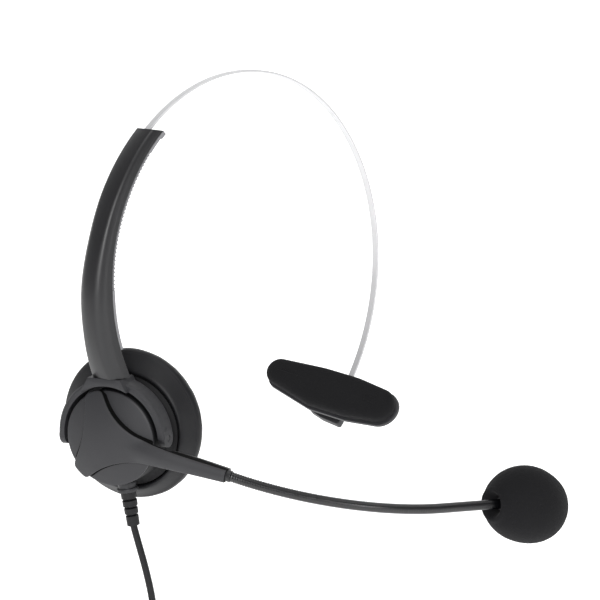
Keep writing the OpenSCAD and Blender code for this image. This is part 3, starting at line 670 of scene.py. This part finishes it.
# the cut edge, the band and the underside take the near-black painted shade
for f in faces[2:]:
    face = panel.faces.new([made[i] for i in f])
    face.material_index = 1 if min(f) >= wall_mark else 0
bmesh.ops.remove_doubles(panel, verts=panel.verts, dist=2e-5)
bmesh.ops.holes_fill(panel, edges=[e for e in panel.edges if len(e.link_faces) < 2])
boom_panel = finish_mesh("boom_panel", panel, "boom", GREY, 40, ["boom_cover"])
boom_panel.data.materials.append(PAINTED_SHADE)

# ---- horn back ----
# The other half of the horn, screwed and glued under the cover, a seam between them.
# x along the boom, half-width, lowest and highest
HORN_BACK = [(27.2, 3.4, 2.4, 4.35), (36, 2.95, 0.2, 2.5), (HORN_END, 2.5, -1, 1.6)]
BACK_FROM = HORN_BACK[0][0]
BACK_STEPS = 30
rings = []
for k in range(BACK_STEPS + 1):
    x = BACK_FROM + (HORN_END - BACK_FROM) * k / BACK_STEPS
    half, z0, z1 = table(x, HORN_BACK)
    ring = rounded([(-half, z1), (-half, z0 + 1.1), (-0.55 * half, z0), (0.55 * half, z0),
                    (half, z0 + 1.1), (half, z1)], [0.15, 0.8, 0.9, 0.9, 0.8, 0.15])
    rings.append([(x, y, z) for y, z in ring])
put("horn_back", skin(rings), boom, "boom", BLACK, 40, ["boom_back"])

# ---- flexible neck ----
# A bendable wire inside a fine ribbed rubber sleeve; it is made in three stretches.
NECK = surface("neck_rubber", (0.003, 0.003, 0.004), 0.24, bump=0.04, shine=0.6)
HORN_Z, STRAIGHT, BEND_R, BEND_END, NECK_R, TIP_LEN = 2.0, 3.4, 84.0, 56.0, 1.9, 28.0
RIB_PITCH, RIB_DEPTH, RIB_SHARE, RINGS_PER_RIB = 1.0, 0.16, 0.6, 5
NECK_SEGMENTS = 28
NECK_ROOT = -4  # the sleeve starts this far inside the horn


def neck_frame(s):
    """Point and direction on the neck's axis at length s past the horn's end."""
    a = min(max((s - STRAIGHT) / BEND_R, 0), radians(BEND_END))
    way = Vector((cos(a), 0, -sin(a)))
    spot = Vector((HORN_END + STRAIGHT + BEND_R * sin(a), 0, HORN_Z - BEND_R * (1 - cos(a))))
    return spot + way * (s - STRAIGHT - a * BEND_R), way


def neck_sleeve(name, s0, s1, bend, nodes):
    """The ribbed sleeve from s0 to s1, on no body. bend is read, but the point found there is not used.
    """
    rings = []
    count = int((s1 - s0) / RIB_PITCH * RINGS_PER_RIB)
    for k in range(count + 1):
        s = s0 + (s1 - s0) * k / count
        r = NECK_R - (RIB_DEPTH if (s / RIB_PITCH) % 1 > RIB_SHARE else 0)
        centre, way = neck_frame(s)
        across = way.cross(Vector((0, 1, 0)))
        angles = [2 * pi * j / NECK_SEGMENTS for j in range(NECK_SEGMENTS)]
        rings.append([centre + r * (cos(t) * Vector((0, 1, 0)) + sin(t) * across) for t in angles])
    piece = put(name, skin(rings), boom, None, NECK, 50, nodes)
    centre, way = neck_frame(bend)
    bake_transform(piece)


bends = [STRAIGHT + BEND_R * radians(d) for d in (10, 33, BEND_END)]
cut_1, cut_2 = (bends[0] + bends[1]) / 2, (bends[1] + bends[2]) / 2
neck_sleeve("neck_sleeve_near", NECK_ROOT, cut_1, bends[0], ["neck_root"])
neck_sleeve("neck_sleeve_mid", cut_1, cut_2, bends[1], ["neck_middle"])
neck_sleeve("neck_sleeve_far", cut_2, bends[2] + TIP_LEN + 0.6, bends[2],
            ["neck_outer", "neck_tip"])

# ---- microphone windshield ----
# An egg of open-cell foam pulled over the microphone, with a turned-in mouth at the neck.
tip, way = neck_frame(bends[2])
mic = boom @ Matrix.Translation(tip) @ turn(BEND_END, "Y") @ shift(TIP_LEN - 5, 0, 0) @ turn(90, "Y")
HALF_LEN, HALF_W = 17.8, 15.2
FOAM_SEGMENTS = 320
MOUTH_ROWS = 7
EGG_FROM_DEG, EGG_STEPS, EGG_TAPER = 27, 90, 0.04
DROOP = 0.06
down = (mic.inverted().to_3x3() @ Vector((0, 0, -1))).normalized()
down.z = 0
egg = [(0, 12.0), (2.2, 12.0), (2.3, 9.0), (2.6, 6.0), (3.6, 3.4), (4.9, 1.4), (5.7, 0.65), (6.6, 0.85)]
for k in range(1, EGG_STEPS + 1):
    t = radians(EGG_FROM_DEG + (180 - EGG_FROM_DEG) * k / EGG_STEPS)
    egg.append((HALF_W * sin(t) * (1 - EGG_TAPER * cos(t)), HALF_LEN * (1 - cos(t))))
egg[-1] = (0, 2 * HALF_LEN)


def pores(p, row, a):
    """Open cells and an uneven swelling of the foam outside the mouth, drooping at its end."""
    if row < MOUTH_ROWS:
        return p
    cells = noise.noise(p * 1.9) + 0.6 * noise.noise(p * 3.7)
    swell = noise.noise(p * 0.09 + Vector((3, 1, 2)))
    out = Vector((p.x, p.y, p.z - HALF_LEN)).normalized()
    return p + out * (0.07 * cells + 0.25 * swell - 0.1) + down * DROOP * p.z


windshield = put("mic_windshield", lathe(egg, FOAM_SEGMENTS, pores), mic, "mic", FOAM, 80,
                 ["mic_foam"])

# ---- inner pieces ----
# Speaker, screws, pins, clamps and microphone capsule: small moulded, pressed and wound
# pieces that stay as designed, each in its own material.
BY_SLOT = {
    "black_plastic": BLACK, "grey_plastic": GREY, "strip_steel": STRIP, "foam": FOAM,
    "leatherette": LEATHER, "neck_rubber": NECK, "soft_rubber": RUBBER,
    "inner_grey_plastic": RACK,
    "bright_steel": surface("bright_steel", (0.62, 0.62, 0.63), 0.28, metallic=1.0, grain=1500,
                            bump=0.04),
    "cloth": surface("cloth", (0.015, 0.015, 0.015), 0.9, grain=2600, bump=0.6, depth=0.0003, sheen=0.3),
    "membrane": surface("membrane", (0.5, 0.45, 0.33), 0.35),
    "magnet": surface("magnet", (0.1, 0.1, 0.11), 0.4, metallic=0.6),
    "copper_wire": surface("copper_wire", (0.6, 0.28, 0.12), 0.35, metallic=1.0),
    "plug_metal": surface("plug_metal", (0.52, 0.36, 0.14), 0.25, metallic=1.0, bump=0.02),
}
for row in frame["record"]["subparts"]:
    shape = frame["nodes"][row["node"]].data
    shape.materials.clear()
    shape.materials.append(BY_SLOT[row["material_slot"]])

# ---- studio ----
# A seamless white sweep under and behind the headset, white beyond its edges, a key light
# near the camera, a broad overhead light and a weak one in front of the wearer.
FLOOR_Z = -0.224
SWEEP_HALF = 3.5
# distance away from the camera, height above the floor
SWEEP = [(-2.5, 0), (1.6, 0), (2.1, 0.12), (2.35, 0.5), (2.4, 2.6)]
LIGHTS_AIM = Vector((0, 0, -0.03))
side_way = Vector((0.682, -0.731, 0))
away = Vector((0.731, 0.682, 0))
paper = surface("paper", (0.92, 0.92, 0.92), 0.9, bump=0.0)
paper_shader = paper.node_tree.nodes["Principled BSDF"]
paper_shader.inputs["Emission Color"].default_value = (1, 1, 1, 1)
paper_shader.inputs["Emission Strength"].default_value = 0.75
sweep = bmesh.new()
rows = []
for d, z in SWEEP:
    rows.append([sweep.verts.new(away * d + side_way * w + Vector((0, 0, z + FLOOR_Z)))
                 for w in (-SWEEP_HALF, SWEEP_HALF)])
for a, b in zip(rows, rows[1:]):
    sweep.faces.new((a[0], a[1], b[1], b[0]))
mesh = bpy.data.meshes.new("studio_sweep")
sweep.to_mesh(mesh)
sweep.free()
backdrop = bpy.data.objects.new("studio_sweep", mesh)
bpy.context.scene.collection.objects.link(backdrop)
mesh.materials.append(paper)
world = bpy.data.worlds.new("studio")
world.use_nodes = True
world_nodes = world.node_tree.nodes
glow = world_nodes["Background"]
glow.inputs["Color"].default_value = (1, 1, 1, 1)
glow.inputs["Strength"].default_value = 0.32
beyond = world_nodes.new("ShaderNodeBackground")
beyond.inputs["Color"].default_value = (1, 1, 1, 1)
seen = world_nodes.new("ShaderNodeLightPath")
choose = world_nodes.new("ShaderNodeMixShader")
world.node_tree.links.new(seen.outputs["Is Camera Ray"], choose.inputs["Fac"])
world.node_tree.links.new(glow.outputs["Background"], choose.inputs[1])
world.node_tree.links.new(beyond.outputs["Background"], choose.inputs[2])
world.node_tree.links.new(choose.outputs["Shader"], world_nodes["World Output"].inputs["Surface"])
bpy.context.scene.world = world


def softbox(name, place, size, power):
    """A rectangular area light turned towards the headset."""
    data = bpy.data.lights.new(name, "AREA")
    data.shape = "RECTANGLE"
    data.size = size[0]
    data.size_y = size[1]
    data.energy = power
    lamp = bpy.data.objects.new(name, data)
    lamp.location = place
    lamp.rotation_euler = (Vector(place) - LIGHTS_AIM).to_track_quat("Z", "Y").to_euler()
    bpy.context.scene.collection.objects.link(lamp)


softbox("overhead", (-0.1, -0.2, 1.1), (0.9, 0.9), 5)
softbox("key", (-0.95, -0.72, 0.4), (0.25, 0.6), 7)
softbox("front", (0.1, -1.3, 0.05), (0.35, 0.8), 2)
